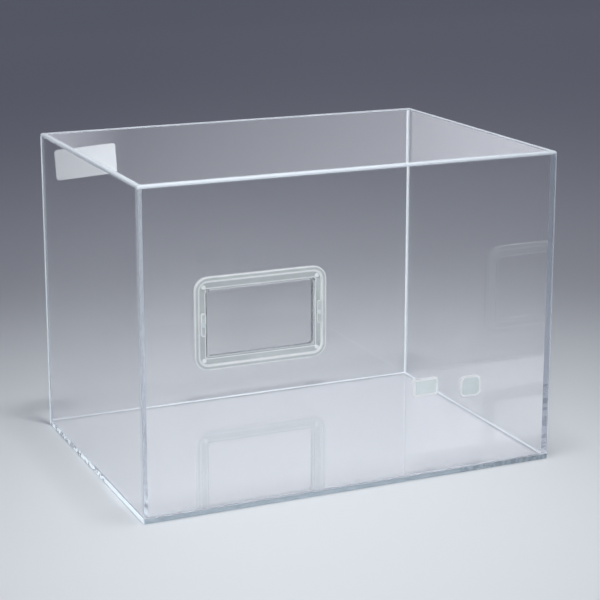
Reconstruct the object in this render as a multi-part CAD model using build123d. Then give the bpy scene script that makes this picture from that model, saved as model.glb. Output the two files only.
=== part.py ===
"""Open-topped clear acrylic tank with a top-hung inspection window in its back wall.

The tank stands on Z = 0 with the origin at the middle of its underside. X runs along its
length, the front wall faces -Y, and the window is seen from inside, on the back wall.
"""

import os
from math import sqrt

from build123d import *

# All sizes are in millimetres and all angles in degrees.

# Tank: five cemented panels of cast acrylic sheet, open at the top.
tank_length = 320.0
tank_depth = 230.0
tank_height = 235.0
panel = 4.0
outer_round = 0.6
rim_outer_round = 1.6
rim_break = 0.4

# Window bezel: a raised rim around a lower band, with the opening inside the band.
window_x = 20.0
window_sill = 30.0
bezel_width = 118.0
bezel_height = 79.0
bezel_corner = 12.0
rim_width = 4.0
band_width = 6.2
band_thickness = 1.5
rim_rise = 1.4
rim_round = 0.5
opening_corner = 0.8
cutout_corner = 3.5

# Gasket between the bezel and the wall; the pane closes on its inner lip.
gasket_thickness = 0.5
gasket_inset = 0.6

# Pane, hung along its top edge on two short pins.
pane_thickness = 2.8
pane_gap = 0.3
pane_seat_gap = 0.05
pane_land = 1.0
pane_corner = 1.0
hinge_pin_radius = 0.6
hinge_pin_grip = 2.4
hinge_lug_length = 3.2
hinge_lug_wall = 0.5
hinge_bore_spare = 0.4

# Two turn catches, one on each upright of the bezel.
catch_length = 20.0
catch_width = 4.8
catch_thickness = 1.5
catch_round = 0.4
catch_lap_gap = 0.15
pivot_radius = 1.0
pivot_head_radius = 1.9
pivot_head_height = 0.8
turning_gap = 0.05

# Four pan-head screws in the band's corners; screws and pivots end blind in the wall.
screw_radius = 1.0
screw_hole_clearance = 0.1
screw_head_radius = 1.8
screw_head_height = 0.9
head_round = 0.3
wall_left_behind = 1.0

# Name plate, stuck on a little crooked at the upper left of the back wall.
label_width = 46.0
label_height = 24.0
label_thickness = 0.6
label_corner = 2.4
label_side_margin = 9.0
label_top_margin = 12.2
label_tilt = 3.0
tape_thickness = 0.3
tape_inset = 1.0

# Two clear spacer pads on the inner face of the front wall.
pad_thickness = 2.0
pad_round = 0.6
left_pad_size = (20.2, 13.4)
left_pad_corner = 2.2
left_pad_from_right = 103.2
left_pad_height = 69.1
right_pad_size = (17.4, 16.2)
right_pad_corner = 4.6
right_pad_from_right = 66.1
right_pad_height = 65.0

# Places that follow from the sizes above.
half_length = tank_length / 2
half_depth = tank_depth / 2
wall_face = half_depth - panel
window_z = window_sill + bezel_height / 2
border = rim_width + band_width
opening_width = bezel_width - 2 * border
opening_height = bezel_height - 2 * border
cutout_width = opening_width - 2 * (pane_gap + pane_land)
cutout_height = opening_height - 2 * (pane_gap + pane_land)
rim_corner = bezel_corner - rim_width
band_face = wall_face - gasket_thickness - band_thickness
rim_face = band_face - rim_rise
pane_back = wall_face - gasket_thickness - pane_seat_gap
pane_front = pane_back - pane_thickness
knuckle = pane_thickness / 2
hinge_y = pane_back - knuckle
hinge_z = window_z + opening_height / 2 - pane_gap - knuckle
pane_half_width = opening_width / 2 - pane_gap
catch_x = opening_width / 2 + band_width / 2
catch_back = min(pane_front, rim_face) - catch_lap_gap
catch_front = catch_back - catch_thickness
blind_end = half_depth - wall_left_behind
# Each screw sits midway between the opening's rounded corner and the rim's.
screw_from_opening = (band_width - (rim_corner + opening_corner) * (1 - sqrt(0.5))) / 2
screw_x = opening_width / 2 + screw_from_opening
screw_z = opening_height / 2 + screw_from_opening

NODES = {}


def slab(x_range, y_range, z_range):
    """Box between two values on each axis."""
    sides = [high - low for low, high in (x_range, y_range, z_range)]
    middle = [(high + low) / 2 for low, high in (x_range, y_range, z_range)]
    return Pos(*middle) * Box(*sides)


def upright(outline, centre, y_range, tilt=0.0):
    """Flat outline set up parallel to the back wall, between two depths."""
    y_front, y_back = y_range
    plate = extrude(outline, y_back - y_front)
    return Pos(centre[0], y_back, centre[1]) * Rot(90, 0, 0) * Rot(0, 0, tilt) * plate


def upright_plate(centre, size, corner, y_range, tilt=0.0):
    """Rounded rectangle parallel to the back wall, between two depths."""
    return upright(RectangleRounded(*size, corner), centre, y_range, tilt)


def rod_along_y(x, z, radius, y_range):
    """Cylinder square to the back wall, between two depths."""
    y_front, y_back = y_range
    rod = Cylinder(radius, y_back - y_front)
    return Pos(x, (y_front + y_back) / 2, z) * Rot(90, 0, 0) * rod


def rod_along_x(y, z, radius, x_range):
    """Cylinder along the hinge line, between two values of X."""
    x_low, x_high = x_range
    rod = Cylinder(radius, x_high - x_low)
    return Pos((x_low + x_high) / 2, y, z) * Rot(0, 90, 0) * rod


def round_front(shape, radius):
    """Rounds the edges of a piece's foremost face."""
    return fillet(shape.edges().group_by(Axis.Y)[0], radius)


def round_back(shape, radius):
    """Rounds the edges of a piece's rearmost face."""
    return fillet(shape.edges().group_by(Axis.Y)[-1], radius)


def add(name, *solids):
    """Keeps a node: one solid, or a group of like solids."""
    NODES[name] = solids[0] if len(solids) == 1 else Compound(children=list(solids))


def screw_places():
    """Centres of the four bezel screws on the back wall."""
    return [(window_x + side * screw_x, window_z + end * screw_z) for side in (-1, 1) for end in (-1, 1)]


def pivot_places():
    """Centres of the two catch pivots on the back wall."""
    return [(window_x + side * catch_x, window_z) for side in (-1, 1)]


def tank_envelope():
    """Outside of the tank: softened edges, a fuller round outside the rim, its inner edge broken."""
    outside = Pos(0, 0, tank_height / 2) * Box(tank_length, tank_depth, tank_height)
    outside = fillet(outside.edges().group_by(Axis.Z)[-1], rim_outer_round)
    outside = fillet(outside.edges().filter_by(Axis.Z) + outside.edges().group_by(Axis.Z)[0], outer_round)
    mouth = Rectangle(tank_length - 2 * panel, tank_depth - 2 * panel)
    wide_mouth = offset(mouth, rim_break, kind=Kind.INTERSECTION)
    flare = loft([Pos(0, 0, tank_height - rim_break) * mouth, Pos(0, 0, tank_height) * wide_mouth])
    return outside - flare


def panels():
    """Bottom under four walls; the front and back walls run the full length."""
    envelope = tank_envelope()
    length = (-half_length, half_length)
    height = (panel, tank_height)
    inner_depth = (-wall_face, wall_face)
    inner_end = half_length - panel
    add("bottom_panel", envelope & slab(length, (-half_depth, half_depth), (0, panel)))
    add("front_wall", envelope & slab(length, (-half_depth, -wall_face), height))
    add("left_wall", envelope & slab((-half_length, -inner_end), inner_depth, height))
    add("right_wall", envelope & slab((inner_end, half_length), inner_depth, height))

    back = envelope & slab(length, (wall_face, half_depth), height)
    back -= cutout((wall_face, half_depth))
    for x, z in screw_places():
        back -= rod_along_y(x, z, screw_radius, (wall_face, blind_end))
    for x, z in pivot_places():
        back -= rod_along_y(x, z, pivot_radius, (wall_face, blind_end))
    add("back_wall", back)


def cutout(y_range):
    """Hole through the wall and the gasket, a little smaller than the pane."""
    return upright_plate((window_x, window_z), (cutout_width, cutout_height), cutout_corner, y_range)


def gasket():
    """Flat ring under the bezel whose inner lip reaches under the pane."""
    depth = (wall_face - gasket_thickness, wall_face)
    size = (bezel_width - 2 * gasket_inset, bezel_height - 2 * gasket_inset)
    ring = upright_plate((window_x, window_z), size, bezel_corner - gasket_inset, depth)
    ring -= cutout(depth)
    for x, z in screw_places():
        ring -= rod_along_y(x, z, screw_radius + screw_hole_clearance, depth)
    for x, z in pivot_places():
        ring -= rod_along_y(x, z, pivot_radius, depth)
    add("window_gasket", ring)


def hinge_lug(side):
    """Raised lug on one upright that holds a hinge pin beside the opening."""
    inner = window_x + side * opening_width / 2
    outer = inner + side * hinge_lug_length
    half_height = hinge_pin_radius + hinge_lug_wall
    return slab(
        sorted((inner, outer)),
        (rim_face, band_face),
        (hinge_z - half_height, hinge_z + half_height),
    )


def pin_span(side):
    """Range of X that a hinge pin takes up, from inside its lug to inside the pane."""
    opening_edge = window_x + side * opening_width / 2
    in_lug = opening_edge + side * hinge_pin_grip
    in_pane = opening_edge - side * (pane_gap + hinge_pin_grip)
    return sorted((in_lug, in_pane))


def bezel():
    """Moulded frame: a plate with a raised outer rim, hinge lugs, and holes for its fixings."""
    seat = wall_face - gasket_thickness
    centre = (window_x, window_z)
    frame = upright_plate(centre, (bezel_width, bezel_height), bezel_corner, (rim_face, seat))
    frame = round_front(frame, rim_round)
    band = (bezel_width - 2 * rim_width, bezel_height - 2 * rim_width)
    frame -= upright_plate(centre, band, rim_corner, (rim_face, band_face))
    frame -= upright_plate(centre, (opening_width, opening_height), opening_corner, (rim_face, seat))
    for side in (-1, 1):
        frame += hinge_lug(side)
        frame -= rod_along_x(hinge_y, hinge_z, hinge_pin_radius, pin_span(side))
    for x, z in screw_places():
        frame -= rod_along_y(x, z, screw_radius + screw_hole_clearance, (rim_face, seat))
    for x, z in pivot_places():
        frame -= rod_along_y(x, z, pivot_radius, (rim_face, seat))
    add("window_bezel", frame)


def pane():
    """Clear flap with a half-round top edge that is bored at both ends for the pins."""
    low = window_z - opening_height / 2 + pane_gap
    x_range = (window_x - pane_half_width, window_x + pane_half_width)
    flap = slab(x_range, (pane_front, pane_back), (low, hinge_z))
    lower_corners = flap.edges().filter_by(Axis.Y).group_by(Axis.Z)[0]
    flap = fillet(lower_corners, pane_corner)
    flap += rod_along_x(hinge_y, hinge_z, knuckle, x_range)
    bore_depth = hinge_pin_grip + hinge_bore_spare
    for end, inward in ((x_range[0], 1), (x_range[1], -1)):
        bore = sorted((end, end + inward * bore_depth))
        flap -= rod_along_x(hinge_y, hinge_z, hinge_pin_radius + turning_gap, bore)
    add("window_pane", flap)


def hinge_pins():
    """Two short steel pins, pressed into the lugs and turning in the pane."""
    pins = [rod_along_x(hinge_y, hinge_z, hinge_pin_radius, pin_span(side)) for side in (-1, 1)]
    add("hinge_pins", *pins)


def turn_catch(name, x, z):
    """Round-ended bar on a boss that lifts it clear of the pane and the rim."""
    outline = SlotOverall(catch_length, catch_width, rotation=90)
    bar = upright(outline, (x, z), (catch_front, catch_back))
    bar = round_front(bar, catch_round)
    bar += rod_along_y(x, z, catch_width / 2 - catch_round, (catch_back, band_face - turning_gap))
    bar -= rod_along_y(x, z, pivot_radius + turning_gap, (catch_front, band_face))
    add(name, bar)


def headed_pin(x, z, shank_radius, head_radius, head_height, head_back):
    """Shank that ends blind in the wall, with a rounded head in front."""
    head = rod_along_y(x, z, head_radius, (head_back - head_height, head_back))
    head = round_front(head, head_round)
    return head + rod_along_y(x, z, shank_radius, (head_back, blind_end))


def fixings():
    """Catch pivots with running clearance, and the screws that clamp the bezel."""
    head_back = catch_front - turning_gap
    pivots = [
        headed_pin(x, z, pivot_radius, pivot_head_radius, pivot_head_height, head_back)
        for x, z in pivot_places()
    ]
    add("catch_pivots", *pivots)
    screws = [
        headed_pin(x, z, screw_radius, screw_head_radius, screw_head_height, band_face)
        for x, z in screw_places()
    ]
    add("bezel_screws", *screws)


def label():
    """Brushed metal name plate on a thin tape."""
    x = -half_length + panel + label_side_margin + label_width / 2
    z = tank_height - label_top_margin - label_height / 2
    tape_face = wall_face - tape_thickness
    size = (label_width, label_height)
    plate = upright_plate((x, z), size, label_corner, (tape_face - label_thickness, tape_face), label_tilt)
    tape_size = [side - 2 * tape_inset for side in size]
    tape_corner = label_corner - tape_inset
    tape = upright_plate((x, z), tape_size, tape_corner, (tape_face, wall_face), label_tilt)
    add("label_plate", plate)
    add("label_tape", tape)


def spacer_pad(name, size, corner, from_right, height):
    """Clear pad cemented to the inner face of the front wall."""
    centre = (half_length - from_right, height)
    pad = upright_plate(centre, size, corner, (-wall_face, -wall_face + pad_thickness))
    add(name, round_back(pad, pad_round))


panels()
gasket()
bezel()
pane()
hinge_pins()
for catch_name, catch_place in zip(("left_catch", "right_catch"), pivot_places()):
    turn_catch(catch_name, *catch_place)
fixings()
label()
spacer_pad("left_pad", left_pad_size, left_pad_corner, left_pad_from_right, left_pad_height)
spacer_pad("right_pad", right_pad_size, right_pad_corner, right_pad_from_right, right_pad_height)

os.makedirs("parts", exist_ok=True)
for node, shape in NODES.items():
    export_step(shape, f"parts/{node}.step")
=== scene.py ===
from math import pi, radians

import bmesh
import bpy
from mathutils import Matrix, Vector


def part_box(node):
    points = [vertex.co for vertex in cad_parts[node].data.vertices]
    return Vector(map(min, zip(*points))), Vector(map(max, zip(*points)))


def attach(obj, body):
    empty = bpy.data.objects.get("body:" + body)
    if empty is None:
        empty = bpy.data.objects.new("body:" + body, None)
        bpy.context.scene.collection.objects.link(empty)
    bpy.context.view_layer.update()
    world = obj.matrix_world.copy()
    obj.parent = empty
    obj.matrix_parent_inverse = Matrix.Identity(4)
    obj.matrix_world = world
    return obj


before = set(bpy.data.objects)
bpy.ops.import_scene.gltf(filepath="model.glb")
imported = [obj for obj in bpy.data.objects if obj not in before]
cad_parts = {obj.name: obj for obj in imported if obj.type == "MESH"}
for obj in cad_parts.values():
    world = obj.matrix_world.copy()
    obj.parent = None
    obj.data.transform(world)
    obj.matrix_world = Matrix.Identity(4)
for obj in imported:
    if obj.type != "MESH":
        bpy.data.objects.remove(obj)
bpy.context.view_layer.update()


# Camera. It stands a little over a metre from the tank's front left corner, above the rim, and
# looks down into the tank through a short telephoto lens.
lens = bpy.data.cameras.new("camera")
lens.lens = 103.83
lens.sensor_width = 36.0
lens.shift_y = -0.1
camera = bpy.data.objects.new("camera", lens)
camera.location = (-0.5125, -1.1668, 0.4533)
camera.rotation_euler = (radians(77.03), 0.0, radians(-24.017))
bpy.context.scene.collection.objects.link(camera)
bpy.context.scene.camera = camera
bpy.context.scene.view_settings.view_transform = "Standard"


# Table. Matt pale paper, flat for five metres round the tank and turned up well outside the view.
# It lies a hair below the tank, so that light still gets in under the bottom panel.
floor_reach = 5.0
floor_turn = 1.5
floor_drop = 0.0004


class Wire:
    """A socket of a shader tree. Arithmetic on it adds Math nodes."""

    def __init__(self, socket):
        self.socket = socket
        self.tree = socket.id_data

    @classmethod
    def node(cls, tree, kind, settings=(), sockets=(), out=0):
        """Adds a node: its settings first, then the values or links of its sockets."""
        made = tree.nodes.new(kind)
        for name, value in dict(settings).items():
            setattr(made, name, value)
        for name, value in dict(sockets).items():
            if isinstance(value, Wire):
                tree.links.new(value.socket, made.inputs[name])
            else:
                made.inputs[name].default_value = value
        return cls(made.outputs[out]) if made.outputs else made

    def other(self, name):
        """Another output of the same node."""
        return Wire(self.socket.node.outputs[name])

    def maths(self, operation, first, second=0.0):
        sockets = {0: first, 1: second}
        return self.node(self.tree, "ShaderNodeMath", {"operation": operation}, sockets)

    def __add__(self, value):
        return self.maths("ADD", self, value)

    __radd__ = __add__

    def __sub__(self, value):
        return self.maths("SUBTRACT", self, value)

    def __rsub__(self, value):
        return self.maths("SUBTRACT", value, self)

    def __mul__(self, value):
        return self.maths("MULTIPLY", self, value)

    __rmul__ = __mul__

    def __gt__(self, value):
        return self.maths("GREATER_THAN", self, value)

    def __lt__(self, value):
        return self.maths("LESS_THAN", self, value)

    def __abs__(self):
        return self.maths("ABSOLUTE", self)

    def larger(self, value):
        return self.maths("MAXIMUM", self, value)

    def smaller(self, value):
        return self.maths("MINIMUM", self, value)

    def ramp(self, low, high):
        """Rises smoothly from 0 at low to 1 at high, or falls if low is the larger."""
        settings = {"interpolation_type": "SMOOTHSTEP"}
        sockets = {"Value": self, "From Min": low, "From Max": high}
        return self.node(self.tree, "ShaderNodeMapRange", settings, sockets)


def finish(name, shade):
    """A material whose surface is the shader that shade(tree) returns."""
    material = bpy.data.materials.new(name)
    material.use_nodes = True
    tree = material.node_tree
    tree.nodes.clear()
    Wire.node(tree, "ShaderNodeOutputMaterial", (), {"Surface": shade(tree)})
    return material


def place(tree):
    """The shaded point in the model's own frame, then its X, Y and Z."""
    spot = Wire.node(tree, "ShaderNodeTexCoord", out="Object")
    x = Wire.node(tree, "ShaderNodeSeparateXYZ", (), {"Vector": spot})
    return spot, x, x.other("Y"), x.other("Z")


def tint(tree, factor, first, second):
    """Two colours mixed by a factor. A Mix node takes colours at 6 and 7, and gives one at 2."""
    sockets = {"Factor": factor, 6: first, 7: second}
    return Wire.node(tree, "ShaderNodeMix", {"data_type": "RGBA"}, sockets, 2)


def noise(tree, spot, scale, stretch=(1, 1, 1), detail=2.0):
    """Soft noise over a stretched place, from 0 to 1."""
    moved = Wire.node(tree, "ShaderNodeMapping", (), {"Vector": spot, "Scale": stretch})
    sockets = {"Vector": moved, "Scale": scale, "Detail": detail}
    return Wire.node(tree, "ShaderNodeTexNoise", (), sockets)


def plastic(tree, **sockets):
    """The general surface shader, with its sockets named by words joined with underscores."""
    named = {name.replace("_", " "): value for name, value in sockets.items()}
    return Wire.node(tree, "ShaderNodeBsdfPrincipled", (), named)


def piece(name, shape, material, smooth=True):
    """Turns built geometry into an object with one material."""
    mesh = bpy.data.meshes.new(name)
    shape.to_mesh(mesh)
    shape.free()
    mesh.materials.append(material)
    for face in mesh.polygons:
        face.use_smooth = smooth
    made = bpy.data.objects.new(name, mesh)
    bpy.context.scene.collection.objects.link(made)
    return made


def paper_sheet():
    """Round sheet: flat out to floor_reach, then a quarter turn up."""
    shape = bmesh.new()
    sides = 96
    steps = 8
    profile = [Vector((floor_reach * step / steps, 0)) for step in range(1, steps + 1)]
    for step in range(1, steps + 1):
        swing = Matrix.Rotation(pi / 2 * step / steps, 2) @ Vector((0, -floor_turn))
        profile.append(Vector((floor_reach + swing.x, floor_turn + swing.y)))
    turns = [Matrix.Rotation(2 * pi * side / sides, 3, "Z") for side in range(sides)]
    rings = []
    for radius, height in profile:
        rings.append([shape.verts.new(turn @ Vector((radius, 0, height))) for turn in turns])
    centre = shape.verts.new((0, 0, 0))
    for side in range(sides):
        after = (side + 1) % sides
        shape.faces.new((centre, rings[0][side], rings[0][after]))
        for inner, outer in zip(rings, rings[1:]):
            shape.faces.new((inner[side], outer[side], outer[after], inner[after]))
    return shape


def paper(tree):
    grain = noise(tree, place(tree)[0], 900.0)
    colour = tint(tree, grain, (0.79, 0.80, 0.81, 1), (0.81, 0.82, 0.83, 1))
    return plastic(tree, Base_Color=colour, Roughness=0.9, Specular_IOR_Level=0.1)


floor = piece("floor", paper_sheet(), finish("floor_paper", paper))
floor.location.z = -floor_drop


# Lamps. Three lamps with snoots hang over a place just in front of the tank, and their pools of
# light overlap, so the floor fades evenly into a dim cool room. A fourth stands low on the left
# and fills the upright faces.
def lamp(name, stand, aim, half_angle, power, size):
    """A snooted lamp that lights matt surfaces and shows in no reflection."""
    bulb = bpy.data.lights.new(name, "SPOT")
    bulb.energy = power
    bulb.color = (0.955, 0.992, 1.0)
    bulb.spot_size = radians(2 * half_angle)
    bulb.spot_blend = 1.0
    bulb.shadow_soft_size = size
    hung = bpy.data.objects.new(name, bulb)
    hung.location = stand
    hung.rotation_euler = (Vector(aim) - Vector(stand)).to_track_quat("-Z", "Y").to_euler()
    hung.visible_glossy = False
    hung.visible_transmission = False
    bpy.context.scene.collection.objects.link(hung)


lamp_height = 1.6
pool = Vector((-0.045, -0.215, 0.0))
above = pool + Vector((0, 0, lamp_height))
tank_middle = (0.0, 0.0, 0.14)
for name, half_angle, power in (
    ("lamp_near", 14, 14.5),
    ("lamp_middle", 26, 40.0),
    ("lamp_wide", 60, 19.0),
):
    lamp(name, above, pool, half_angle, power, size=0.12)
lamp("lamp_fill", (-1.05, -1.75, 0.50), tank_middle, 10, 112.0, size=0.2)


def room_light(tree):
    """Dim and cool, a little brighter overhead."""
    way = Wire.node(tree, "ShaderNodeTexCoord", out="Generated")
    up = Wire.node(tree, "ShaderNodeSeparateXYZ", (), {"Vector": way}).other("Z")
    colour = tint(tree, up.ramp(-0.1, 1.0), (0.094, 0.098, 0.139, 1), (0.121, 0.126, 0.164, 1))
    return Wire.node(tree, "ShaderNodeBackground", (), {"Color": colour})


room = bpy.data.worlds.new("room")
room.use_nodes = True
room.node_tree.nodes.clear()
Wire.node(room.node_tree, "ShaderNodeOutputWorld", (), {"Surface": room_light(room.node_tree)})
bpy.context.scene.world = room


# Cards. A big dim card stands high behind the tank, where the bottom panel mirrors it. A strip
# stands close behind on the left, where the right wall mirrors its lower edge. A third hangs in
# the tank's mouth and lights the top of the back wall.
def mix(tree, factor, first, second):
    """Two shaders mixed by a factor."""
    return Wire.node(tree, "ShaderNodeMixShader", (), {0: factor, 1: first, 2: second})


def open_air(tree):
    return Wire.node(tree, "ShaderNodeBsdfTransparent")


def glow_card(name, corners, glows, through=True):
    """A glowing card that only reflected light can meet, on the side from which its corners run
    anticlockwise. glows gives its glow at places along X."""
    shape = bmesh.new()
    shape.faces.new([shape.verts.new(corner) for corner in corners])

    def glow(tree):
        x = place(tree)[1]
        places = [along for along, light in glows]
        lights = [(0.95 * light, 0.97 * light, 1.05 * light, 1) for along, light in glows]
        colour = lights[0]
        for left, right, light in zip(places, places[1:], lights[1:]):
            colour = tint(tree, (x - left) * (1 / (right - left)), colour, light)
        lit = Wire.node(tree, "ShaderNodeEmission", (), {"Color": colour})
        front = 1 - Wire.node(tree, "ShaderNodeNewGeometry", out="Backfacing")
        mirrored = Wire.node(tree, "ShaderNodeLightPath", out="Glossy Depth") > 0.5
        return mix(tree, front * mirrored, open_air(tree), lit)

    card = piece(name, shape, finish(name, glow), smooth=False)
    card.visible_camera = False
    card.visible_diffuse = False
    card.visible_shadow = False
    card.visible_transmission = through


def upright(left, right, y, low, high):
    """Corners of a card that stands along the tank's length and faces the front."""
    return (left, y, low), (right, y, low), (right, y, high), (left, y, high)


glow_card("back_card", upright(-1.4, 3.4, 3.0, 0.12, 1.9), ((-1.4, 0.45), (3.4, 1.0)))
left_end, right_end = -0.275, -0.060
glow_card(
    "left_strip",
    upright(left_end, right_end, 0.55, 0.0975, 0.26),
    ((left_end, 3.7), (right_end, 1.55)),
)
glow_card(
    "mouth_strip",
    (
        (-0.0317, -0.0460, 0.1555),
        (-0.1018, -0.1040, 0.1977),
        (-0.1018, -0.1040, 0.2064),
        (0.1558, 0.1093, 0.2368),
        (0.1558, 0.1093, 0.1879),
    ),
    ((-0.1018, 8.5), (-0.04, 2.4), (0.1558, 5.6)),
    through=False,
)


# Tank panels. Five sheets of cast acrylic, sawn, flame-polished along the rim and cemented edge
# to face. Solvent cement welds a joint nearly clear, so light runs on from sheet to sheet.
inner_end, inner_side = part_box("right_wall")[0].x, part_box("right_wall")[1].y
outer_end, outer_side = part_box("front_wall")[1].x, -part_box("front_wall")[0].y
panel_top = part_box("bottom_panel")[1].z
rim_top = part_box("front_wall")[1].z
seam_reach = 0.00008
rim_round = 0.0016
edge_round = 0.0007
haze_top, haze_full = 0.17, 0.02
# Where the painted glow on the left sill turns from unbroken to broken.
glow_dashes_from, glow_dashes_until = -0.035, -0.02
flecks_from = 0.085
bubbles_top = 0.058
acrylic_ior = 1.49


def clear(tree, colour=(1, 1, 1, 1), roughness=0.0, ior=acrylic_ior):
    """Solid clear plastic that bends what is seen through it and lets lamplight pass."""
    glass = plastic(tree, Base_Color=colour, Roughness=roughness, IOR=ior, Transmission_Weight=1.0)
    path = Wire.node(tree, "ShaderNodeLightPath", out="Is Shadow Ray")
    return mix(tree, path.larger(path.other("Is Diffuse Ray")), glass, open_air(tree))


def cast_acrylic(tree):
    """Clear sheet with a thin haze near the base. The rim keeps a semi-gloss coated finish but is
    painted pale as a glow, reaching further down on the front and left walls as a painted
    highlight.
    The sawn ends and the left sill carry a painted glow, much stronger at the back, and the front
    sill is painted dark as shade. Joints on the back half are drawn whiter as a painted highlight,
    and the cement of the front corners is cloudy, with bubbles low down."""
    spot, x, y, z = place(tree)
    out_x = abs(x)
    out_y = abs(y)
    beyond_x = out_x > inner_end - seam_reach
    beyond_y = out_y > inner_side - seam_reach
    base_joint = (abs(z - panel_top) < seam_reach) * beyond_x.larger(beyond_y)
    corner_joint = (abs(out_y - inner_side) < seam_reach) * beyond_x
    front_joint = corner_joint * (y < 0)

    bloom = noise(tree, spot, 14.0)
    film = plastic(tree, Base_Color=(0.84, 0.86, 0.94, 1), Roughness=0.6)
    haze = 0.009 + 0.012 * bloom + 0.055 * z.ramp(haze_top, haze_full)
    face = mix(tree, haze, clear(tree), film)

    # The sawn ends carry a painted glow: an emission standing in for light carried along the
    # sheet, much stronger on the back half.
    sawn_end = (out_x > outer_end - edge_round) * (out_y > inner_side + seam_reach)
    # A coated finish for the rim, its pale colour a painted glow.
    rim_glow_finish = plastic(tree, Base_Color=(0.78, 0.83, 0.88, 1), Roughness=0.35, Coat_Weight=0.5)
    painted_glow = plastic(
        tree,
        Base_Color=(0.88, 0.93, 0.97, 1),
        Roughness=0.4,
        Emission_Color=(0.80, 0.92, 1.0, 1),
        Emission_Strength=0.42,
    )
    face = mix(tree, (0.12 + 0.63 * (y > 0)) * sawn_end, face, painted_glow)

    # The left sill is painted with the same glow, unbroken at the front and broken into short
    # strokes further back.
    left_sill = (x < edge_round - outer_end) * (z < panel_top + seam_reach)
    glow_dashes = noise(tree, spot, 210.0).ramp(0.47, 0.53)
    solid_glow = y.ramp(glow_dashes_until, glow_dashes_from)
    face = mix(tree, 0.92 * left_sill * solid_glow.larger(glow_dashes), face, painted_glow)

    # The front sill is painted dark grey-blue, a painted shade in place of what the clear sawn
    # edge shows, with darker flecks on the right.
    front_sill = (y < edge_round - outer_side) * (z < panel_top + seam_reach)
    flecks = noise(tree, spot, 420.0, (1, 1, 0.4)).ramp(0.46, 0.54) * (x > flecks_from)
    shade = tint(tree, flecks, (0.30, 0.38, 0.43, 1), (0.20, 0.26, 0.30, 1))
    face = mix(tree, 0.72 * front_sill, face, plastic(tree, Base_Color=shade, Roughness=0.3))

    # The rim keeps a coated finish but is painted pale as a glow standing in for light carried up
    # the walls; on the front and left walls the band reaches further down as a painted highlight.
    wall_end = (out_x > inner_end + seam_reach).larger(out_y > inner_side + seam_reach)
    deeper_painted_highlight = 0.6 * rim_round * (y < -inner_side).larger(x < -inner_end)
    rim = (z + deeper_painted_highlight).ramp(rim_top - rim_round, rim_top - 0.6 * rim_round) * wall_end
    face = mix(tree, 0.9 * rim, face, rim_glow_finish)

    bubbles = noise(tree, spot, 300.0, (0.3, 1, 1)).ramp(0.49, 0.56) * (z < bubbles_top)
    upright = tint(tree, bubbles, (0.74, 0.79, 0.88, 1), (0.42, 0.47, 0.55, 1))
    dried = tint(tree, front_joint, (0.93, 0.96, 0.99, 1), upright)
    cement = plastic(tree, Base_Color=dried, Roughness=0.5)
    hazy = (0.21 + 0.22 * (x > 0)) * front_joint
    # Joints on the back half are drawn much whiter than the front ones, a painted highlight along
    # the back corners.
    weld = mix(tree, (0.06 + 0.40 * (y > 0)).larger(hazy), open_air(tree), cement)
    return mix(tree, base_joint.larger(corner_joint), face, weld)


def assign(material, *names):
    """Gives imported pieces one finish."""
    for name in names:
        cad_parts[name].data.materials.clear()
        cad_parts[name].data.materials.append(material)


acrylic = finish("clear_acrylic", cast_acrylic)
assign(acrylic, "bottom_panel", "front_wall", "back_wall", "left_wall", "right_wall")


# Cement beads. Solvent cement squeezed out of the back and right joints dried as a fine white
# thread in the inner corner.
def bead(name, start, end, first, second):
    """Thread from start to end in the corner between first and second, with a rounded face."""
    shape = bmesh.new()
    outline = (Vector(), first, 0.42 * (first + second), second)
    rings = [[shape.verts.new(place_on + step) for step in outline] for place_on in (start, end)]
    for side in range(len(outline)):
        after = (side + 1) % len(outline)
        shape.faces.new((rings[0][side], rings[0][after], rings[1][after], rings[1][side]))
    shape.faces.new(rings[0][::-1])
    shape.faces.new(rings[1])
    bmesh.ops.recalc_face_normals(shape, faces=shape.faces)
    thread = piece(name, shape, dried_cement, smooth=False)
    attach(thread, "tank")


def white_cement(tree):
    bloom = noise(tree, place(tree)[0], 160.0)
    shade = tint(tree, bloom, (0.86, 0.90, 0.94, 1), (0.97, 0.98, 1.0, 1))
    return plastic(tree, Base_Color=shade, Roughness=0.4)


dried_cement = finish("dried_cement", white_cement)
leg = 0.0011
rim_gap = 0.001
base_back = Vector((-inner_end, inner_side, panel_top))
base_right = Vector((inner_end, inner_side, panel_top))
base_front = Vector((inner_end, -inner_side, panel_top))
rim_right = Vector((inner_end, inner_side, rim_top - rim_gap))
bead("back_bead", base_back, base_right, Vector((0, -0.8 * leg, 0)), Vector((0, 0, 0.8 * leg)))
bead("right_bead", base_right, base_front, Vector((-1.3 * leg, 0, 0)), Vector((0, 0, 1.1 * leg)))
bead("corner_bead", base_right, rim_right, Vector((-leg, 0, 0)), Vector((0, -leg, 0)))


# Window gasket. A thin ring die-cut from translucent silicone sheet. The bezel clamps it on the
# wall, and the closed pane rests on its inner edge.
def silicone(tree):
    bloom = noise(tree, place(tree)[0], 120.0)
    shade = tint(tree, bloom, (0.66, 0.71, 0.71, 1), (0.72, 0.77, 0.77, 1))
    return plastic(tree, Base_Color=shade, Roughness=0.55, Transmission_Weight=0.35, IOR=1.41)


assign(finish("silicone", silicone), "window_gasket")


# Window bezel, catches and pads. All are moulded in clear plastic with a faint grey-green cast,
# and their edges carry thin pale lines of painted highlight. Four screws hold the bezel, each
# catch turns on a pivot, and the pads are stuck inside the front wall.
bezel_low, bezel_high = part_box("window_bezel")
bezel_middle = (bezel_low + bezel_high) / 2
bezel_half = (bezel_high - bezel_low) / 2
bezel_corner = 0.012
rim_width = 0.004
frame_width = 0.0102
opening_corner = 0.0008
opening_half = (bezel_half.x - frame_width, bezel_half.z - frame_width)


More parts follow.
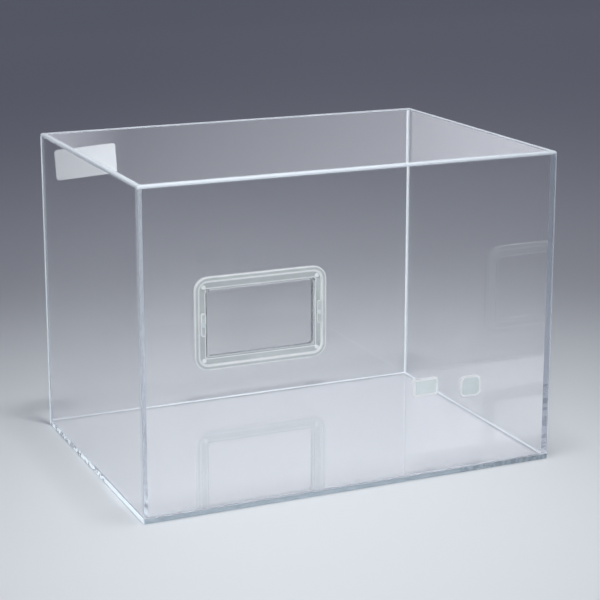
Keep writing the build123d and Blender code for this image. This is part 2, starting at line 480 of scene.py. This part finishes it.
def outside(tree, x, z, middle, half, corner):
    """Distance outside a rounded rectangle that faces the front, less than 0 inside it."""
    over_x = abs(x - middle[0]) - (half[0] - corner)
    over_z = abs(z - middle[1]) - (half[1] - corner)
    ways = {0: over_x.larger(0), 1: over_z.larger(0)}
    past = Wire.node(tree, "ShaderNodeCombineXYZ", (), ways)
    span = Wire.node(tree, "ShaderNodeVectorMath", {"operation": "LENGTH"}, {0: past}, "Value")
    return span + over_x.larger(over_z).smaller(0) - corner


def moulded(tree, highlight_line, highlight_shine, pale=1.0):
    """Clear moulding with a semi-gloss skin, and a painted highlight along its edges, as pale as
    given. pale lightens the rest.
    """
    flow = noise(tree, place(tree)[0], 60.0)

    def cast(first, second):
        paler = [(*(pale * part for part in colour), 1) for colour in (first, second)]
        return tint(tree, flow, *paler)

    colour = cast((0.80, 0.86, 0.85), (0.86, 0.91, 0.90))
    tone = cast((0.74, 0.80, 0.79), (0.82, 0.87, 0.86))
    skin = plastic(tree, Base_Color=tone, Roughness=0.3)
    # The pale edge lines are painted highlights.
    painted_highlight = plastic(tree, Base_Color=(highlight_shine, highlight_shine, highlight_shine, 1), Roughness=0.3, Coat_Weight=0.3)
    body = mix(tree, 0.5 + 0.2 * flow, clear(tree, colour, 0.04), skin)
    return mix(tree, 0.85 * highlight_line, body, painted_highlight)


def bezel_plastic(tree):
    spot, x, y, z = place(tree)
    middle = (bezel_middle.x, bezel_middle.z)
    out = outside(tree, x, z, middle, (bezel_half.x, bezel_half.z), bezel_corner)
    hole = outside(tree, x, z, middle, opening_half, opening_corner)
    # Painted highlights round the outer edge, along the step and round the opening.
    outer_highlight = out.ramp(-0.0016, -0.0004)
    step_highlight = abs(out + rim_width).ramp(0.0014, 0.0005)
    hole_highlight = hole.ramp(0.0014, 0.0006)
    return moulded(tree, outer_highlight.larger(step_highlight).larger(hole_highlight), 0.87)


def outlined(low, high, corner, width, highlight_shine, pale):
    """Moulding with a painted highlight of a width round the edge of a piece's box."""

    def shade(tree):
        spot, x, y, z = place(tree)
        middle = ((low.x + high.x) / 2, (low.z + high.z) / 2)
        half = ((high.x - low.x) / 2, (high.z - low.z) / 2)
        out = outside(tree, x, z, middle, half, corner)
        return moulded(tree, out.ramp(-1.2 * width, -0.8 * width), highlight_shine, pale)

    return shade


assign(finish("bezel_plastic", bezel_plastic), "window_bezel")
for name, corner, width, highlight_shine, pale in (
    ("left_catch", 0.0024, 0.0011, 0.85, 1.0),
    ("right_catch", 0.0024, 0.0009, 0.72, 1.0),
    ("left_pad", 0.0022, 0.0017, 1.0, 1.09),
    ("right_pad", 0.0046, 0.0017, 1.0, 1.09),
):
    skin = outlined(*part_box(name), corner, width, highlight_shine, pale)
    assign(finish(f"{name}_plastic", skin), name)


# Window pane and hinge pins. The pane is clear acrylic like the walls, sawn to fit the opening.
# It hangs by its top edge on two short pins of ground steel.
def pane_acrylic(tree):
    bloom = noise(tree, place(tree)[0], 20.0)
    film = plastic(tree, Base_Color=(0.80, 0.86, 0.93, 1), Roughness=0.6)
    return mix(tree, 0.004 + 0.006 * bloom, clear(tree), film)


def ground_steel(tree):
    rings = noise(tree, place(tree)[0], 400.0, (40, 1, 1))
    steel = (0.70, 0.71, 0.72, 1)
    return plastic(tree, Base_Color=steel, Metallic=1.0, Roughness=0.2 + 0.2 * rings)


assign(finish("pane_acrylic", pane_acrylic), "window_pane")
assign(finish("ground_steel", ground_steel), "hinge_pins")


# Screws and catch pivots. The screws are natural nylon, cold-headed and slightly waxy. The
# pivots are greyer nylon, pressed through the catches.
def nylon(tree):
    wax = noise(tree, place(tree)[0], 500.0)
    colour = tint(tree, wax, (0.86, 0.88, 0.88, 1), (0.93, 0.94, 0.94, 1))
    return plastic(tree, Base_Color=colour, Roughness=0.35 + 0.1 * wax, Coat_Weight=0.2)


def grey_nylon(tree):
    wax = noise(tree, place(tree)[0], 500.0)
    colour = tint(tree, wax, (0.60, 0.66, 0.66, 1), (0.68, 0.73, 0.73, 1))
    return plastic(tree, Base_Color=colour, Roughness=0.4 + 0.1 * wax)


assign(finish("nylon", nylon), "bezel_screws")
assign(finish("grey_nylon", grey_nylon), "catch_pivots")


# Name plate. Thin satin aluminium, brushed along its length and left blank. Double-sided tape
# holds it on the back wall, a little crooked.
def brushed_plate(tree):
    lines = noise(tree, place(tree)[0], 900.0, (0.02, 1, 1), 4.0)
    colour = tint(tree, lines, (0.93, 0.96, 0.97, 1), (1.0, 1.0, 1.0, 1))
    sockets = {"Height": lines, "Strength": 0.15, "Distance": 0.0002}
    scratches = Wire.node(tree, "ShaderNodeBump", (), sockets)
    return plastic(tree, Base_Color=colour, Metallic=0.15, Roughness=0.45, Normal=scratches)


def tape_film(tree):
    fibre = noise(tree, place(tree)[0], 200.0)
    colour = tint(tree, fibre, (0.80, 0.82, 0.83, 1), (0.88, 0.90, 0.91, 1))
    return plastic(tree, Base_Color=colour, Roughness=0.6)


assign(finish("satin_aluminium", brushed_plate), "label_plate")
assign(finish("tape", tape_film), "label_tape")


# Close. Light crosses many sheets of plastic on its way, so its paths may be long.
scene = bpy.context.scene
scene.cycles.max_bounces = 32
scene.cycles.transmission_bounces = 32
scene.cycles.glossy_bounces = 16
scene.cycles.transparent_max_bounces = 32
